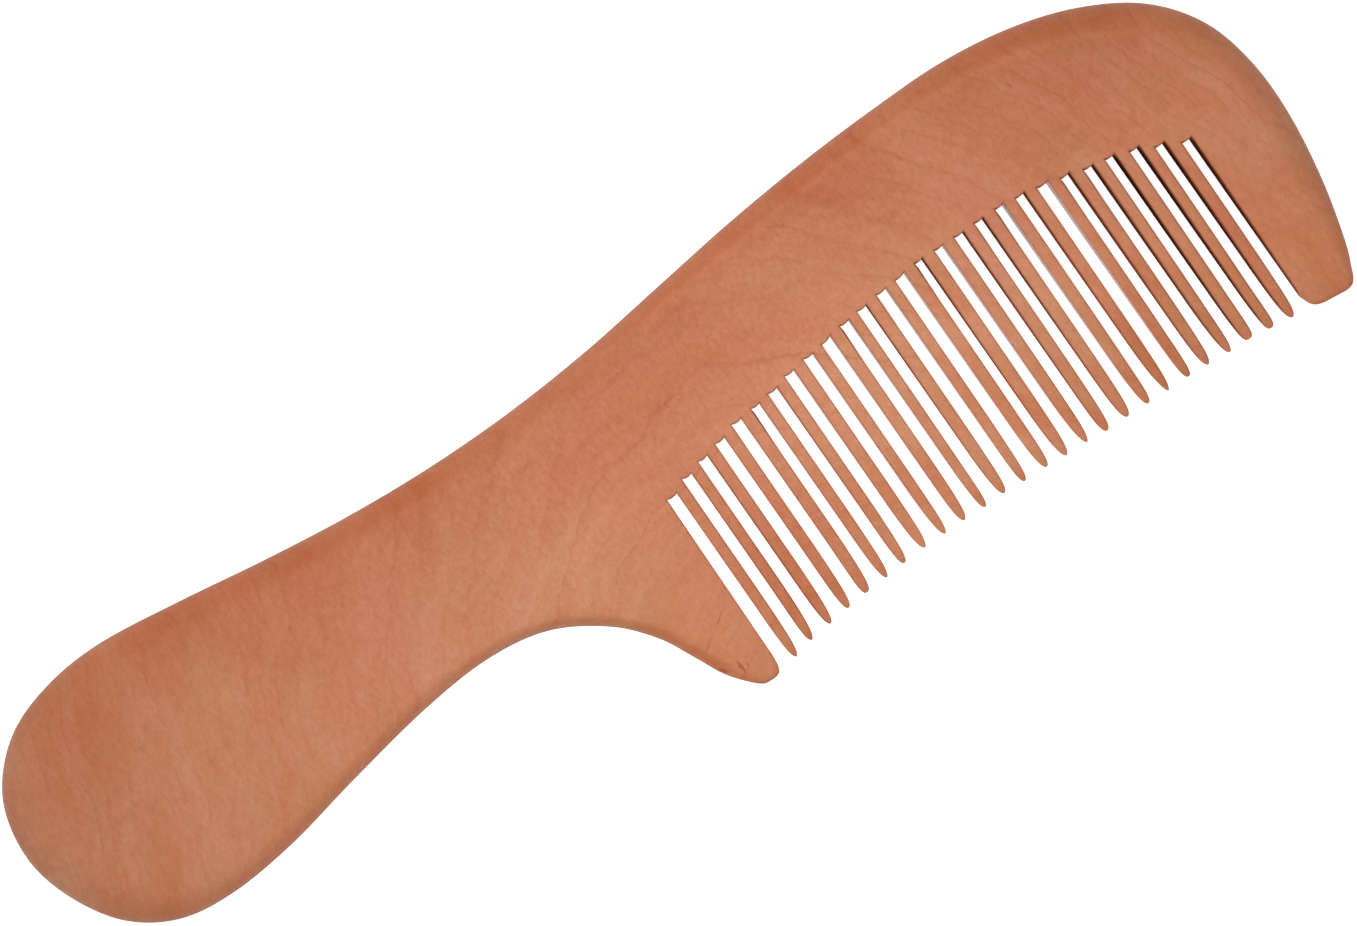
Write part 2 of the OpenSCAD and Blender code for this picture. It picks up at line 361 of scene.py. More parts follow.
def add_tip(loop, centre_top, half_width, tip, tip_right_burn_and_shade, tip_left_burn_and_shade):
    """The tapered end of a tooth, from its right side round its tip to its left side."""
    full = half_width / taper(TAPER_LENGTH, tip.blunt)

    def point(side, d):
        inside = TIP_INSET + d * (1 - TIP_INSET / TAPER_LENGTH)
        centre = centre_top + tip.bend * (1 - d / TAPER_LENGTH) ** 2
        outer = (centre + side * full * taper(d, tip.blunt), tip.height + d)
        narrow = max(full * taper(inside, tip.blunt) - TOOTH_ROUND, TIP_LEAST)
        inner = (centre + side * narrow, tip.height + inside)
        return outer, inner

    def left_over(d):
        return min(1.0, BURN_AND_SHADE_LEFT + d / BURN_AND_SHADE_FADE)

    for d in TIP_PLACES:
        loop.add(*point(1, d), TOOTH_DROP, tip=tip.height, sawn=tip_right_burn_and_shade * left_over(d))
    end = (centre_top + tip.bend, tip.height)
    tip_end_burn_and_shade = (tip_right_burn_and_shade + tip_left_burn_and_shade) / 2 * left_over(0.0)
    loop.add(end, (end[0], end[1] + TIP_INSET), TOOTH_DROP, tip=tip.height, sawn=tip_end_burn_and_shade)
    for d in reversed(TIP_PLACES):
        loop.add(*point(-1, d), TOOTH_DROP, tip=tip.height, sawn=tip_left_burn_and_shade * left_over(d))


def add_teeth(loop):
    """From the right guard tooth to the left one: a saw cut, then the tooth to its left, and so on."""
    guard_y = OUTLINE[0][1] + GUARD_GAP
    for i in reversed(range(len(SAW_CUTS))):
        cut = SAW_CUTS[i]
        right = cut.left + cut.width
        root_y = cut.root - ROOT_GAP
        # the walls' dark is saw burn and painted shade together
        left_burn_and_shade = LEFT_BURN_AND_SHADE * cut.burn
        if i == len(SAW_CUTS) - 1:
            end = (OUTLINE[-1][0], guard_y)
        else:
            end = (right + CUT_FLARE / 2 + TEETH_LEAN, TIPS[i].height + TAPER_LENGTH + TAPER_GAP)
        add_wall(loop, (right, root_y), end, 1, cut.burn)
        add_root(loop, cut)
        if i == 0:
            add_wall(loop, (cut.left, root_y), (OUTLINE[0][0], guard_y), -1, left_burn_and_shade, cut.scorch)
            continue
        tip = TIPS[i - 1]
        end = (cut.left - CUT_FLARE / 2 + TEETH_LEAN, tip.height + TAPER_LENGTH + TAPER_GAP)
        add_wall(loop, (cut.left, root_y), end, -1, left_burn_and_shade, cut.scorch)
        before = SAW_CUTS[i - 1]
        tooth_left = before.left + before.width + CUT_FLARE / 2
        tooth_right = cut.left - CUT_FLARE / 2
        centre = (tooth_left + tooth_right) / 2 + TEETH_LEAN
        add_tip(loop, centre, (tooth_right - tooth_left) / 2, tip, left_burn_and_shade, before.burn)


def ring_heights(xy, drop, angle, tips):
    """Height of a ring of the rounded edge above the comb's middle plane."""
    from_tip = np.clip(xy[:, 1] - tips, 0, None)
    grown = 1 - np.exp(-from_tip / TIP_GROWTH)
    h = half_height(xy[:, 0], xy[:, 1]) * (TIP_THICKNESS + (1 - TIP_THICKNESS) * grown)
    fall = np.minimum(EDGE_DROP * h, drop)
    return h - fall * (1 - math.sin(angle))


def edge_rings(loop):
    """Rings of points from the upper face round the edge to the lower face.

    Gives the rings, how dark their points are painted, burnt by the saw and in painted shade, and their
    share of the way in to the face.
    """
    rings = []
    cuts = []
    shares = []
    # upper rounded edge, from the face down to the upright part
    for k in range(ROUND_STEPS, -1, -1):
        angle = math.pi / 2 * k / ROUND_STEPS
        share = 1 - math.cos(angle)
        xy = loop.outer + share * (loop.inner - loop.outer)
        rings.append(np.column_stack([xy, ring_heights(xy, loop.drop, angle, loop.tip)]))
        cuts.append(loop.sawn * (1 - share))
        shares.append(share)
    # upright part, down to the middle plane
    edge = rings[-1]
    for k in range(1, UPRIGHT_STEPS + 1):
        rings.append(edge * (1, 1, 1 - k / UPRIGHT_STEPS))
        cuts.append(loop.sawn)
        shares.append(0.0)
    # the lower half mirrors the upper half
    for k in range(len(rings) - 2, -1, -1):
        rings.append(rings[k] * (1, 1, -1))
        cuts.append(cuts[k])
        shares.append(shares[k])
    return rings, cuts, shares


def wall_slot(sawn):
    """Material of a piece of the upright edge, which was cut by the saw only inside a saw cut."""
    if sawn == 0:
        return FACE
    return RAW if sawn > SMOOTH_BURN_AND_SHADE else SMOOTH


def edge_faces(shares, sawn):
    """Faces between the rings, and the material of each."""
    n = len(sawn)
    faces = []
    slots = []
    for ring in range(len(shares) - 1):
        is_wall = max(shares[ring], shares[ring + 1]) < POLISHED
        for i in range(n):
            a = ring * n + i
            b = ring * n + (i + 1) % n
            faces.append((a, b, b + n, a + n))
            slots.append(wall_slot(min(sawn[i], sawn[(i + 1) % n])) if is_wall else FACE)
    return faces, slots


def distances(xy, line):
    """Distance from each place to each point of a line, as a table."""
    gap = xy[:, None, :] - line[None, :, :]
    return np.sqrt((gap**2).sum(axis=2))


def is_inside(xy, polygon):
    """Whether each place lies inside a closed polygon."""
    x = xy[:, 0][:, None]
    y = xy[:, 1][:, None]
    x1, y1 = polygon.T
    x2, y2 = np.roll(polygon, -1, axis=0).T
    crosses = ((y1 > y) != (y2 > y)) & (x < (x2 - x1) * (y - y1) / (y2 - y1 + TINY) + x1)
    return crosses.sum(axis=1) % 2 == 1


def faces_up(places, triangle):
    """Whether a triangle's corners run anticlockwise."""
    a, b, c = (places[i] for i in triangle)
    return (b[0] - a[0]) * (c[1] - a[1]) - (c[0] - a[0]) * (b[1] - a[1]) > 0


def fill(border):
    """Places and upward triangles that fill a border, and which border point each place is, or -1."""
    n = len(border)
    # every second row of the grid is shifted by half a step
    xs = np.arange(GRID_LOW[0], GRID_HIGH[0], GRID_STEP)
    ys = np.arange(GRID_LOW[1], GRID_HIGH[1], GRID_STEP * GRID_ROW)
    grid = np.array([(x + GRID_STEP / 2 * (j % 2), y) for j, y in enumerate(ys) for x in xs])
    grid = grid[is_inside(grid, border)]
    grid = grid[distances(grid, border).min(axis=1) > GRID_CLEARANCE]
    points = [Vector(p) for p in np.vstack([border, grid])]
    edges = [(i, (i + 1) % n) for i in range(n)]
    filled = geometry.delaunay_2d_cdt(points, edges, [], FILL_INSIDE, SAME_POINT)
    places, _, triangles, origins, _, _ = filled
    places = [p[:] for p in places]
    origins = [o[0] if o and o[0] < n else -1 for o in origins]
    triangles = [t if faces_up(places, t) else t[::-1] for t in triangles]
    return places, origins, triangles


def close_faces(verts, border, faces):
    """Fills the upper and the lower face inside the first and the last ring, and gives all vertices."""
    places, origins, triangles = fill(border)
    last_ring = len(verts) - len(border)
    top = []
    low = []
    added = []
    for (x, y), origin in zip(places, origins):
        if origin >= 0:
            top.append(origin)
            low.append(last_ring + origin)
        else:
            top.append(len(verts) + len(added))
            low.append(len(verts) + len(added) + 1)
            added.append((x, y, half_height(x, y)))
            added.append((x, y, -half_height(x, y)))
    for triangle in triangles:
        faces.append(tuple(top[i] for i in triangle))
        faces.append(tuple(low[i] for i in reversed(triangle)))
    return np.vstack([verts, added])


# Places where this comb's wood is lighter or darker than elsewhere.
# Columns: x, y, reach along X, reach along Y, and the factors for red, green and blue.
TONES = [
    # handle: a reddish smudge, a dark arc before the rim, and paler and redder places
    (-77.0, 15.0, 4.2, 6.0, 0.97, 0.88, 0.82),
    (-87.5, 18.5, 4.0, 4.5, 1.04, 1.15, 1.20),
    (-86.5, 8.0, 2.0, 8.0, 0.97, 0.97, 0.91),
    (-68.0, 2.0, 7.0, 6.0, 1.02, 1.10, 1.13),
    (-62.0, 10.0, 7.0, 7.0, 1.03, 1.13, 1.17),
    (-40.0, 7.0, 5.0, 8.0, 1.00, 0.92, 0.95),
    (-34.0, 8.0, 4.0, 9.0, 0.985, 0.96, 0.955),
    (-46.0, 12.0, 4.0, 6.0, 1.03, 1.06, 1.09),
    (-81.0, 20.5, 4.0, 3.0, 1.02, 1.07, 1.10),
    (-77.0, 5.5, 4.0, 5.0, 0.99, 0.95, 0.955),
    (-74.5, 18.5, 4.0, 2.0, 0.98, 0.95, 0.93),
    # neck: pale over the notch, brown above the first teeth, and pale again on the guard
    (-25.0, 2.5, 13.0, 6.5, 1.02, 1.13, 1.20),
    (-16.0, -3.0, 9.0, 6.0, 1.02, 1.08, 1.10),
    (9.0, 13.0, 12.0, 4.0, 0.98, 0.98, 0.92),
    (4.0, 0.0, 9.0, 4.0, 0.96, 0.87, 0.79),
    (-4.0, -17.5, 5.5, 9.0, 1.10, 1.16, 1.24),
    # head: redder places above the teeth and in the right guard
    (40.0, 13.0, 10.0, 4.0, 1.00, 0.96, 0.98),
    (54.0, 9.0, 7.0, 9.0, 0.98, 0.88, 0.87),
    (75.0, 14.0, 6.0, 4.0, 1.00, 0.93, 0.97),
    (78.0, 20.5, 10.0, 3.5, 0.97, 1.04, 1.06),
    (82.0, 2.0, 8.0, 8.0, 1.06, 1.08, 1.13),
    (84.0, -11.0, 4.0, 5.0, 1.04, 0.97, 0.98),
    (84.0, -20.0, 6.0, 7.0, 1.14, 1.12, 1.16),
    # teeth: deeper in colour toward the tips, with some groups darker or paler
    (40.0, -26.0, 70.0, 12.0, 0.98, 0.95, 0.90),
    (36.0, -2.0, 20.0, 10.0, 1.09, 1.21, 1.28),
    (60.0, -6.0, 8.0, 6.0, 1.08, 1.09, 1.12),
    (44.0, -16.0, 14.0, 7.0, 1.09, 1.11, 1.14),
    (20.0, -12.0, 9.0, 12.0, 1.04, 1.03, 1.04),
    (73.0, -13.0, 7.0, 14.0, 1.09, 1.04, 1.01),
    (7.0, -16.5, 5.0, 8.0, 0.95, 0.80, 0.71),
    (26.5, -21.5, 8.0, 4.5, 1.11, 1.28, 1.47),
    (47.0, -22.0, 5.0, 3.0, 1.05, 1.10, 1.15),
    (59.5, -19.0, 3.0, 5.0, 0.97, 0.84, 0.75),
    (76.5, -12.0, 2.5, 8.0, 0.96, 0.87, 0.81),
]
# The wide zone along the back of the comb: how far it reaches, and its factors at the edge
ZONE_REACH = 13.0
ZONE_COLOR = (0.885, 0.72, 0.63)


def tone_at(xy, blank, zone):
    """Factors for the colour at each place."""
    tone = np.ones((len(xy), 3))
    for x, y, reach_x, reach_y, *factors in TONES:
        far = ((xy[:, 0] - x) / reach_x) ** 2 + ((xy[:, 1] - y) / reach_y) ** 2
        tone *= 1 + np.exp(-far)[:, None] * (np.array(factors) - 1)
    share = (zone * np.exp(-((distances(xy, blank) / ZONE_REACH) ** 2))).max(axis=1)
    return tone * (1 + share[:, None] * (np.array(ZONE_COLOR) - 1))


def ridge_distance(xy):
    """Distance from the ridge, above 0 on the side of the teeth."""
    rows = with_ends(RIDGE)
    line = np.array([
        curve(*rows[i - 1:i + 3], step / RIDGE_STEPS)
        for i in range(1, len(rows) - 2)
        for step in range(RIDGE_STEPS)
    ])
    along = np.gradient(line, axis=0)
    table = distances(xy, line)
    nearest = table.argmin(axis=1)
    gap = xy - line[nearest]
    side = along[nearest, 1] * gap[:, 0] - along[nearest, 0] * gap[:, 1]
    return table.min(axis=1) * np.sign(side)


def place_values(xy, loop):
    """What the material needs to know about each place, and the factors for its colour."""
    on_blank = loop.sawn == 0
    blank = loop.outer[on_blank]
    outward = blank - loop.inner[on_blank]
    outward /= np.hypot(outward[:, 0], outward[:, 1])[:, None]
    reach, dark, zone = loop.paint[on_blank].T
    table = distances(xy, blank)
    # painted shade at the outermost edge: greyer with painted reflection, and browner where it faces the
    # teeth's way
    painted_rim = np.clip(1 - table.min(axis=1) / RIM_WIDTH, 0, 1)
    painted_rim *= np.clip((outward[table.argmin(axis=1), 1] - RIM_TURN) / RIM_BLEND, -1, 1)
    # the edge band: partly the wood's browner edge, partly painted shade, and paler where it is painted
    # reflection
    table /= reach
    values = {
        "edge_share": table.min(axis=1),
        "edge_tint_shade_and_sheen": dark[table.argmin(axis=1)],
        "painted_rim": painted_rim,
        "ridge": ridge_distance(xy),
    }
    return values, tone_at(xy, blank, zone)


def build_comb():
    """The whole comb as one closed mesh, with what its materials need at each vertex."""
    loop = Loop()
    add_blank(loop)
    add_teeth(loop)
    loop.freeze()
    rings, cuts, shares = edge_rings(loop)
    faces, slots = edge_faces(shares, loop.sawn)
    verts = close_faces(np.vstack(rings), loop.inner, faces)
    slots += [FACE] * (len(faces) - len(slots))
    values, tones = place_values(verts[:, :2], loop)
    cuts = np.concatenate(cuts)
    values["sawn"] = np.pad(cuts, (0, len(verts) - len(cuts)))
    verts[:, 2] += HALF

    mesh = bpy.data.meshes.new("comb_wood")
    mesh.from_pydata([tuple(v) for v in verts * MM], [], faces)
    mesh.polygons.foreach_set("material_index", slots)
    for name, column in values.items():
        attribute = mesh.attributes.new(name, "FLOAT", "POINT")
        attribute.data.foreach_set("value", column.astype(np.float32))
    attribute = mesh.attributes.new("tone", "FLOAT_COLOR", "POINT")
    tones = np.column_stack([tones, np.ones(len(verts))])
    attribute.data.foreach_set("color", tones.astype(np.float32).ravel())
    mesh.validate(verbose=True)
    mesh.shade_smooth()
    comb = bpy.data.objects.new("comb_wood", mesh)
    bpy.context.scene.collection.objects.link(comb)
    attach(comb, "root")
    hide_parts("comb")
    return comb


class Tree:
    """Short ways to add and join the nodes of one material."""

    def __init__(self, name):
        self.material = bpy.data.materials.new(name)
        self.material.use_nodes = True
        self.tree = self.material.node_tree
        self.shader = self.tree.nodes["Principled BSDF"]

    def put(self, socket, value):
        if isinstance(value, bpy.types.NodeSocket):
            self.tree.links.new(value, socket)
        else:
            socket.default_value = value

    def node(self, kind, settings=None, **inputs):
        node = self.tree.nodes.new("ShaderNode" + kind)
        for key, value in (settings or {}).items():
            setattr(node, key, value)
        for key, value in inputs.items():
            self.put(node.inputs[key.replace("_", " ")], value)
        return node

    def math(self, operation, *values):
        node = self.node("Math", {"operation": operation})
        for socket, value in zip(node.inputs, values):
            self.put(socket, value)
        return node.outputs[0]

    def vector(self, operation, *values):
        node = self.node("VectorMath", {"operation": operation})
        for socket, value in zip(node.inputs, values):
            self.put(socket, value)
        return node.outputs[0]

    def scale(self, vector, factor):
        node = self.node("VectorMath", {"operation": "SCALE"}, Scale=factor)
        self.put(node.inputs[0], vector)
        return node.outputs[0]

    def combine(self, x, y, z):
        return self.node("CombineXYZ", X=x, Y=y, Z=z).outputs[0]

    def noise(self, place, scale, detail=2.0, rough=0.5, color=False):
        node = self.node("TexNoise", Vector=place, Scale=scale, Detail=detail, Roughness=rough)
        return node.outputs["Color" if color else "Fac"]

    def remap(self, value, low, high, to_low=0.0, to_high=1.0, smooth=True):
        """The value from low to high turned into one from to_low to to_high, and held beyond."""
        kind = "SMOOTHSTEP" if smooth else "LINEAR"
        node = self.node("MapRange", {"interpolation_type": kind, "clamp": True})
        for socket, v in zip(node.inputs, (value, low, high, to_low, to_high)):
            self.put(socket, v)
        return node.outputs[0]

    def hump(self, value, start, peak, end):
        """Rises from 0 at the start to 1 at the peak, and falls to 0 at the end."""
        rise = self.remap(value, start, peak)
        return self.math("MULTIPLY", rise, self.remap(value, peak, end, 1.0, 0.0))

    def spread(self, noise, to_low=0.0, to_high=1.0):
        """Noise stays near its middle, so this spreads it from to_low to to_high."""
        return self.remap(noise, 0.3, 0.7, to_low, to_high, smooth=False)

    def mix(self, share, a, b, blend="MIX"):
        """Two colours mixed. A Mix node has them in sockets 6 and 7, and the mixed one in output 2."""
        node = self.node("Mix", {"data_type": "RGBA", "blend_type": blend})
        self.put(node.inputs["Factor"], share)
        self.put(node.inputs[6], a)
        self.put(node.inputs[7], b)
        return node.outputs[2]

    def swing(self, place, scale, detail, reach):
        """A shift of a place to and fro by a share of the reach."""
        swing = self.vector("SUBTRACT", self.noise(place, scale, detail, color=True), (0.5, 0.5, 0.5))
        return self.vector("MULTIPLY", swing, (reach, reach, reach))

    def tint(self, color, share, low, high):
        """A colour times the factors low where the share is 0, and times high where it is 1."""
        return self.mix(1.0, color, self.mix(share, low + (1.0,), high + (1.0,)), "MULTIPLY")

    def darken(self, color, share, factors):
        """A colour times the factors, as far as the share says. The factors may brighten it too."""
        return self.tint(color, share, (1.0, 1.0, 1.0), factors)

    def attribute(self, name):
        return self.node("Attribute", {"attribute_name": name}).outputs["Fac"]


def srgb(r, g, b):
    """A colour given in the 0 to 255 steps of a screen, as linear light."""

    def channel(v):
        v = v / 255
        return v / 12.92 if v <= 0.04045 else ((v + 0.055) / 1.055) ** 2.4

    return (channel(r), channel(g), channel(b), 1.0)


# Growth rings: the pith lies along a line that leans away under the comb, so the rings meet the
# face as nested arches around PITH_X. Distances in mm, and slopes in mm per mm.
PITH_X = 8.0
PITH_DEPTH = 45.0
PITH_LEAN = 0.5
PITH_RISE = 0.6
RING_WIDTH = 2.9
RING_PHASE = 0.55
RING_UNEVEN = 2.2
# Where rings are narrower. Columns: the distance from the pith beyond which they are, a stretch
# across the arches from its start to its end, and how much narrower they are there.
NARROW_RINGS = [
    (48.0, -20.0, 20.0, 0.0022, -0.0004),
    (60.0, 20.0, 35.0, 0.0, 0.005),
]
# Stretch along X over which the wood becomes that of the head, where wrinkles are weaker and the ring
# lines more alike: the share left of the wrinkles, how alike the lines are, and how dark
HEAD_START = 22.0
HEAD_FULL = 40.0
HEAD_WRINKLE = 0.5
HEAD_ALIKE = 0.7
HEAD_LINE = 0.42
# The dark line of a ring: the shares of the ring at which it starts, is darkest and ends
LINE_PLACE = (0.80, 0.94, 1.0)
# How dark a line is. Each row holds a value's start and end, and the share of the darkness at each of
# the two. The values are noise, a chance number for each ring, Y and X.
LINE_FADES = (0.30, 0.56, 0.0, 1.0)
LINE_CHANCE = (0.1, 1.0, 0.4, 1.0)
LINE_TO_TEETH = (-8.0, 4.0, 0.25, 1.0)
LINE_TO_HANDLE = (-45.0, -12.0, 0.45, 1.0)
# Ways in which places are shifted to and fro: noise scale, noise detail, and reach in mm. The rings
# have long bends and small wrinkles, and the flecks have frayed edges.
BEND = (0.07, 1.0, 4.5)
WRINKLE = (0.45, 4.0, 1.5)
FRAY = (1.5, 2.0, 0.5)
# How fine the patches and the streaks are, across the rings and along Y, per mm
PATCHES = (0.17, 0.06)
STREAKS = (1.7, 0.4)
# How fine the grain, the fibres and the pores are along X, Y and Z, per mm
GRAIN = (1.7, 1.0, 1.7)
FIBRES = (4.0, 0.5, 4.0)
PORES = (8.0, 1.6, 8.0)

# Colours of the wood: its deeper and its paler patches, and its burnt walls, also used as painted shade
# in the narrow cuts
DEEP_WOOD = srgb(208, 125, 83)
PALE_WOOD = srgb(217, 145, 107)
BURNT_AND_SHADED_WOOD = srgb(104, 48, 26)
# Factors for red, green and blue in the grain, and then at the edges, where the rim's are painted shade
# with painted reflection and the ridge's are a painted highlight and painted shade. A pair holds those
# for the low and for the high end of its noise.
HUE = ((0.985, 1.012, 0.99), (1.012, 0.985, 1.01))
LATE_WOOD = (0.97, 0.94, 0.91)
RING_LINE = (0.90, 0.81, 0.74)
STREAK = ((0.97, 0.95, 0.94), (1.03, 1.05, 1.06))
GRAIN_TINT = ((0.96, 0.93, 0.90), (1.04, 1.07, 1.10))
FIBRE_TINT = ((0.98, 0.975, 0.97), (1.02, 1.025, 1.03))
PORE = (0.90, 0.84, 0.80)
FLECK = (0.70, 0.45, 0.32)
# the rim's painted shade, greyer with painted reflection, and its browner painted shade
RIM_UP = (0.90, 1.00, 1.05)
RIM_DOWN = (0.84, 0.84, 0.76)
RIDGE_HIGHLIGHT = (1.04, 1.06, 1.09)
RIDGE_SHADE = (0.97, 0.95, 0.91)
# What the dark band along the rounded edge, partly the wood's browner edge and partly painted shade,
# takes off red, green and blue, and the share of its reach at which it starts to fade
EDGE_BAND = (-0.04, -0.11, -0.20)
BAND_FADES = 0.35
# Distances from the ridge in mm at which its painted highlight on top and its painted shade at the foot
# start, are strongest and end
TOP_PLACE = (-0.7, 0.0, 0.6)
FOOT_PLACE = (0.5, 1.2, 3.2)
# Share of the burnt colour, saw burn and painted shade, in the darkest wall; then the start and end of
# the burn over which the least roughness rises, and its value at each of the two
BURN_AND_SHADE_SHARE = 0.92
BURNT_ROUGH = (0.0, 0.4, 0.4, 1.0)
# Roughness of the polished wood where the grain is deep and where it is pale
ROUGH_DEEP = 0.60
ROUGH_PALE = 0.46
# What raises the polished face and what lowers it, and the height in metres that 1.0 stands for
RAISED_GRAIN = 0.6
RAISED_FIBRE = 0.4
LOWERED_PORE = -0.5
LOWERED_LINE = -0.4
BUMP_STRENGTH = 0.6
BUMP_HEIGHT = 0.00006

# Short dark flecks of bark and resin in the upper face.
# Columns: x, y, half width, half length, turn of the length from Y in degrees, and how dark.
FLECKS = [
    (-4.2, -22.3, 0.30, 1.4, 4.0, 1.0),
    (-3.4, -22.6, 0.25, 0.8, -12.0, 0.4),
    (-6.3, -21.4, 0.35, 1.0, 35.0, 0.9),
    (-2.9, -15.7, 0.20, 2.3, -56.0, 0.5),
    (-6.2, -17.9, 0.22, 1.7, -52.0, 0.45),
    (-47.9, 13.5, 0.30, 1.3, -28.0, 0.25),
    (64.2, 18.8, 0.25, 0.45, 20.0, 0.6),
]
# Share of a fleck that is fully dark, and the height over the middle plane from which flecks are whole
FLECK_CORE = 0.2
FLECK_HEIGHT = 0.5


def growth_rings(t, place, rest):
    """Distance from the pith, the thin dark line that ends each ring, and the late wood before it."""
    # the rings wander a little, in long bends and in small wrinkles
    bend = t.swing(place, *BEND)
    weaker = t.remap(rest["X"], HEAD_START, HEAD_FULL, 1.0, HEAD_WRINKLE)
    wrinkle = t.scale(t.swing(place, *WRINKLE), weaker)
    bent = t.vector("ADD", t.vector("ADD", place, bend), wrinkle)
    axes = t.node("SeparateXYZ", Vector=bent).outputs
    across = t.math("SUBTRACT", axes["X"], PITH_X)
    up = t.math("MULTIPLY_ADD", axes["Y"], PITH_LEAN, PITH_DEPTH)
    up = t.math("MULTIPLY_ADD", axes["Z"], PITH_RISE, up)
    radius = t.math("SQRT", t.math("ADD", t.math("MULTIPLY", across, across), t.math("MULTIPLY", up, up)))
    ring = t.math("DIVIDE", radius, RING_WIDTH)
    for start, side_start, side_end, low, high in NARROW_RINGS:
        growth = t.remap(across, side_start, side_end, low, high)
        beyond = t.math("MAXIMUM", t.math("SUBTRACT", radius, start), 0.0)
        ring = t.math("MULTIPLY_ADD", t.math("MULTIPLY", beyond, beyond), growth, ring)
    uneven = t.noise(t.combine(radius, 0.0, 0.0), 0.13, 1.0)
    ring = t.math("MULTIPLY_ADD", uneven, RING_UNEVEN, ring)
    ring = t.math("SUBTRACT", ring, RING_PHASE)
    index = t.math("FLOOR", ring)
    part = t.math("FRACT", ring)
    chance = t.node("TexWhiteNoise", {"noise_dimensions": "1D"}, W=index).outputs["Value"]

    # the lines fade in and out, and each ring has its own strength, but less so in the head
    line = t.hump(part, *LINE_PLACE)
    fading = t.remap(t.noise(place, 0.13, 2.0), *LINE_FADES)
    strength = t.math("MULTIPLY", fading, t.remap(chance, *LINE_CHANCE))
    alike = t.remap(rest["X"], HEAD_START, HEAD_FULL, 0.0, HEAD_ALIKE)
    strength = t.math("MULTIPLY_ADD", alike, t.math("SUBTRACT", HEAD_LINE, strength), strength)
    line = t.math("MULTIPLY", line, strength)
    # they are faint in the teeth and in the handle
    line = t.math("MULTIPLY", line, t.remap(rest["Y"], *LINE_TO_TEETH))
    line = t.math("MULTIPLY", line, t.remap(rest["X"], *LINE_TO_HANDLE))
    late = t.math("MULTIPLY", t.math("POWER", part, 2.0), t.remap(chance, 0.0, 1.0, 0.2, 1.0))
    return radius, line, late


def patches(t, rest, radius, line, late):
    """Colour of the wood in paler and deeper patches and streaks, all drawn out along the rings."""
    across, along = PATCHES
    drawn = t.combine(t.math("MULTIPLY", radius, across), t.math("MULTIPLY", rest["Y"], along), 0.0)
    patch = t.remap(t.noise(drawn, 1.0, 5.0, 0.62), 0.32, 0.68, smooth=False)
    color = t.mix(patch, DEEP_WOOD, PALE_WOOD)
    hue = t.remap(t.noise(t.vector("ADD", drawn, (7.0, 3.0, 0.0)), 1.2, 3.0), 0.40, 0.60)
    color = t.tint(color, hue, *HUE)
    color = t.darken(color, late, LATE_WOOD)
    color = t.darken(color, line, RING_LINE)
    across, along = STREAKS
    streaks = t.combine(t.math("MULTIPLY", radius, across), t.math("MULTIPLY", rest["Y"], along), 3.0)
    streak = t.spread(t.noise(streaks, 1.0, 3.0, 0.6))
    return t.tint(color, streak, *STREAK)


def fine_grain(t, place):
    """Grain, fibres and pores, which run along the teeth."""
    grain = t.noise(t.vector("MULTIPLY", place, GRAIN), 1.0, 3.0, 0.6)
    fibre = t.noise(t.vector("MULTIPLY", place, FIBRES), 1.0, 3.0, 0.6)
    pore = t.noise(t.vector("MULTIPLY", place, PORES), 1.0, 2.0, 0.5)
    return grain, fibre, t.remap(pore, 0.60, 0.74)


def add_flecks(t, color, place, rest):
    """The dark flecks, with frayed edges, in the upper face only."""
    frayed = t.vector("ADD", place, t.swing(place, *FRAY))
    upper = t.remap(rest["Z"], HALF, HALF + FLECK_HEIGHT)
    for x, y, half_width, half_length, turn, dark in FLECKS:
        near = t.node("Mapping", {"vector_type": "TEXTURE"}, Vector=frayed)
        near.inputs["Location"].default_value = (x, y, 0.0)
        near.inputs["Rotation"].default_value = (0.0, 0.0, math.radians(turn))
        near.inputs["Scale"].default_value = (half_width, half_length, 1.0)
        flat = t.node("VectorMath", {"operation": "LENGTH"})
        t.put(flat.inputs[0], t.vector("MULTIPLY", near.outputs[0], (1.0, 1.0, 0.0)))
        fleck = t.math("MULTIPLY", t.remap(flat.outputs["Value"], FLECK_CORE, 1.0, dark, 0.0), upper)
        color = t.darken(color, fleck, FLECK)
    return color


def paint_edge_tints_and_light(t, color):
    """The rounded edges: a band that is partly the wood's browner edge and partly painted shade, and
    paler where it is painted reflection; painted shade, greyer with painted reflection, along the
    outermost edge; and a painted highlight on the ridge with painted shade at its foot.
    """
    # edge band: partly the wood's browner edge and partly painted shade, paler where painted reflection
    band = t.remap(t.attribute("edge_share"), BAND_FADES, 1.0, 1.0, 0.0)
    band = t.math("MULTIPLY", band, t.attribute("edge_tint_shade_and_sheen"))
    factor = t.vector("MULTIPLY_ADD", t.combine(band, band, band), EDGE_BAND, (1.0, 1.0, 1.0))
    color = t.mix(1.0, color, factor, "MULTIPLY")
    # painted shade at the outermost edge, greyer with painted reflection, browner facing the teeth's way
    painted_rim = t.attribute("painted_rim")
    color = t.darken(color, t.remap(painted_rim, 0.0, 1.0), RIM_UP)
    color = t.darken(color, t.remap(painted_rim, -1.0, 0.0, 1.0, 0.0), RIM_DOWN)
    # a painted highlight on the ridge and painted shade at its foot
    ridge = t.attribute("ridge")
    color = t.darken(color, t.hump(ridge, *TOP_PLACE), RIDGE_HIGHLIGHT)
    return t.darken(color, t.hump(ridge, *FOOT_PLACE), RIDGE_SHADE)


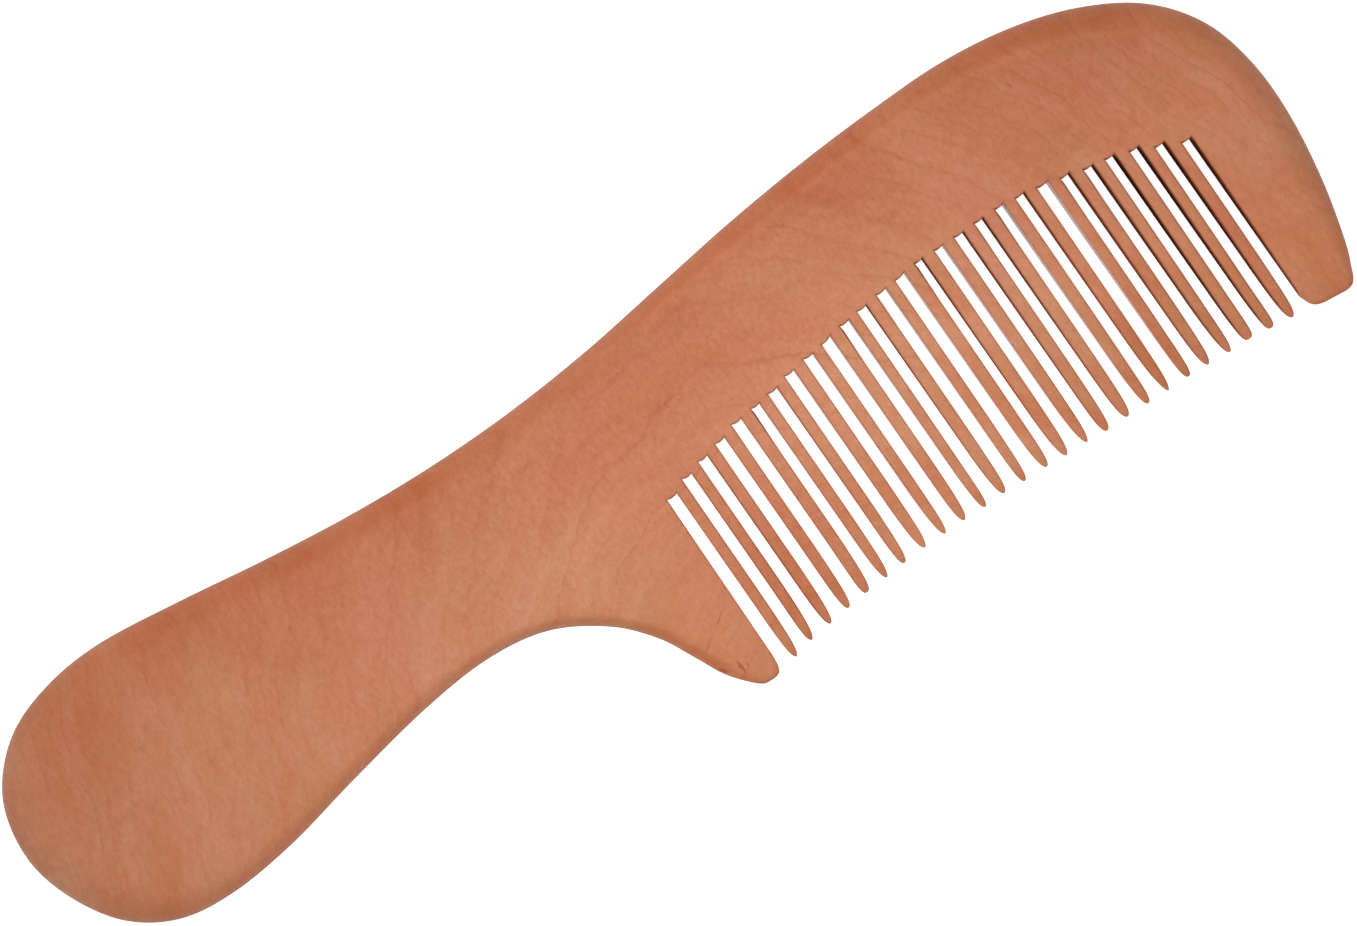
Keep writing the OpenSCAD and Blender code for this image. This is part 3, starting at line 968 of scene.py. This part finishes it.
def wood_material(name, gloss, shade, roughness=None):
    """Fruitwood. gloss is its specular level, and shade holds factors for its colour, which on the walls
    of the cuts are above 1.0: painted light that brightens the dim narrow cuts.

    With a roughness it is even all over. Without one, its roughness and bumps follow the grain.
    """
    t = Tree(name)
    # each place in mm, and its three coordinates, before the rings bend them
    place = t.scale(t.node("TexCoord").outputs["Object"], 1 / MM)
    rest = t.node("SeparateXYZ", Vector=place).outputs
    radius, line, late = growth_rings(t, place, rest)
    grain, fibre, pore = fine_grain(t, place)
    color = patches(t, rest, radius, line, late)
    color = t.tint(color, t.spread(grain), *GRAIN_TINT)
    color = t.tint(color, t.spread(fibre), *FIBRE_TINT)
    color = t.darken(color, pore, PORE)
    color = add_flecks(t, color, place, rest)
    color = paint_edge_tints_and_light(t, color)
    # factors above 1.0 brighten the walls of the cuts as painted light
    color = t.mix(1.0, color, shade + (1.0,), "MULTIPLY")
    # the saw left its walls dark, and the same dark is painted shade in the narrow cuts
    sawn = t.attribute("sawn")
    color = t.mix(t.math("MULTIPLY", sawn, BURN_AND_SHADE_SHARE), color, BURNT_AND_SHADED_WOOD)
    # places that are lighter or darker on this comb
    tone = t.node("Attribute", {"attribute_name": "tone"}).outputs["Color"]
    color = t.mix(1.0, color, tone, "MULTIPLY")
    t.put(t.shader.inputs["Base Color"], color)
    t.shader.inputs["Specular IOR Level"].default_value = gloss
    if roughness is not None:
        t.shader.inputs["Roughness"].default_value = roughness
        return t.material

    # a burnt wall is rougher than the grain makes it
    rough = t.spread(grain, ROUGH_DEEP, ROUGH_PALE)
    rough = t.math("MAXIMUM", rough, t.remap(sawn, *BURNT_ROUGH))
    t.put(t.shader.inputs["Roughness"], rough)
    height = t.math("MULTIPLY_ADD", grain, RAISED_GRAIN, t.math("MULTIPLY", pore, LOWERED_PORE))
    height = t.math("MULTIPLY_ADD", fibre, RAISED_FIBRE, height)
    height = t.math("MULTIPLY_ADD", line, LOWERED_LINE, height)
    bump = t.node("Bump", Height=height, Strength=BUMP_STRENGTH, Distance=BUMP_HEIGHT)
    t.put(t.shader.inputs["Normal"], bump.outputs[0])
    return t.material


comb = build_comb()
# In the order of the mesh's places: the polished faces, and the raw and the smooth walls of the cuts,
# which are brightened copies of the wood, painted light for the dim narrow cuts
for wood in (
    wood_material("pear_wood", gloss=0.3, shade=(1.0, 1.0, 1.0)),
    wood_material("pear_wood_sawn", gloss=0.0, shade=(1.2, 1.3, 1.4)),
    wood_material("pear_wood_smooth", gloss=0.5, shade=(1.1, 1.2, 1.3), roughness=0.12),
):
    comb.data.materials.append(wood)

TABLE_SIZE = 4.0
# A hair below the comb, so that its underside and the table don't share a plane
TABLE_GAP = 0.00002
# Light that the table gives off, and how much more of it the camera sees
TABLE_GLOW = 0.35
TABLE_SEEN = 0.6
TABLE_COLOR = (0.8, 0.8, 0.8, 1.0)
TABLE_ROUGH = 0.9


def table_material():
    """Pale table, lit so strongly that the picture shows it as plain white."""
    t = Tree("white_table")
    t.shader.inputs["Base Color"].default_value = TABLE_COLOR
    t.shader.inputs["Roughness"].default_value = TABLE_ROUGH
    seen = t.node("LightPath").outputs["Is Camera Ray"]
    shine = t.node("Emission", Strength=t.math("MULTIPLY_ADD", seen, TABLE_SEEN, TABLE_GLOW))
    both = t.node("AddShader")
    t.put(both.inputs[0], t.shader.outputs[0])
    t.put(both.inputs[1], shine.outputs[0])
    t.put(t.tree.nodes["Material Output"].inputs["Surface"], both.outputs[0])
    return t.material


bpy.ops.mesh.primitive_plane_add(size=TABLE_SIZE, location=(0, 0, -TABLE_GAP))
table = bpy.context.object
table.name = "table"
table.data.materials.append(table_material())

# Soft light from all sides, a softbox over the comb, and two low ones for its edges
ROOM_LIGHT = 0.36
world = bpy.data.worlds.new("soft_room")
world.use_nodes = True
world.node_tree.nodes["Background"].inputs["Color"].default_value = (1, 1, 1, 1)
world.node_tree.nodes["Background"].inputs["Strength"].default_value = ROOM_LIGHT
bpy.context.scene.world = world


def add_softbox(name, place, target, size, power):
    """A square lamp that points at the target, in metres and watts."""
    lamp = bpy.data.lights.new(name, "AREA")
    lamp.energy = power
    lamp.size = size
    box = bpy.data.objects.new(name, lamp)
    box.location = place
    aim = Vector(place) - Vector(target)
    box.rotation_euler = aim.to_track_quat("Z", "Y").to_euler()
    box.visible_camera = False
    bpy.context.scene.collection.objects.link(box)


add_softbox("softbox_top", place=(0.006, 0.012, 0.18), target=(0, 0, 0), size=0.12, power=0.17)
add_softbox("softbox_back", place=(0, 0.35, 0.10), target=(0, 0.01, 0), size=0.30, power=0.17)
add_softbox("softbox_handle", place=(-0.36, 0.02, 0.06), target=(-0.08, 0.008, 0), size=0.10, power=0.04)

# Camera, straight above, with the upper face as large as in the photo: its place in mm, its height in
# metres, its turn, the photo's width in pixels, and the pixels for each millimetre of the face
CAMERA_PLACE = (3.68, 3.12)
CAMERA_HEIGHT = 1.354
CAMERA_TURN = math.radians(-34.3)
PHOTO_WIDTH = 1357
PIXELS_PER_MM = 8.0
SENSOR = 36
camera = bpy.data.cameras.new("camera")
camera.sensor_width = SENSOR
camera.lens = SENSOR * (CAMERA_HEIGHT - HALF * MM) / (PHOTO_WIDTH / PIXELS_PER_MM * MM)
camera_object = bpy.data.objects.new("camera", camera)
camera_object.location = (CAMERA_PLACE[0] * MM, CAMERA_PLACE[1] * MM, CAMERA_HEIGHT)
camera_object.rotation_euler = (0, 0, CAMERA_TURN)
bpy.context.scene.collection.objects.link(camera_object)
bpy.context.scene.camera = camera_object
bpy.context.scene.view_settings.view_transform = "Standard"
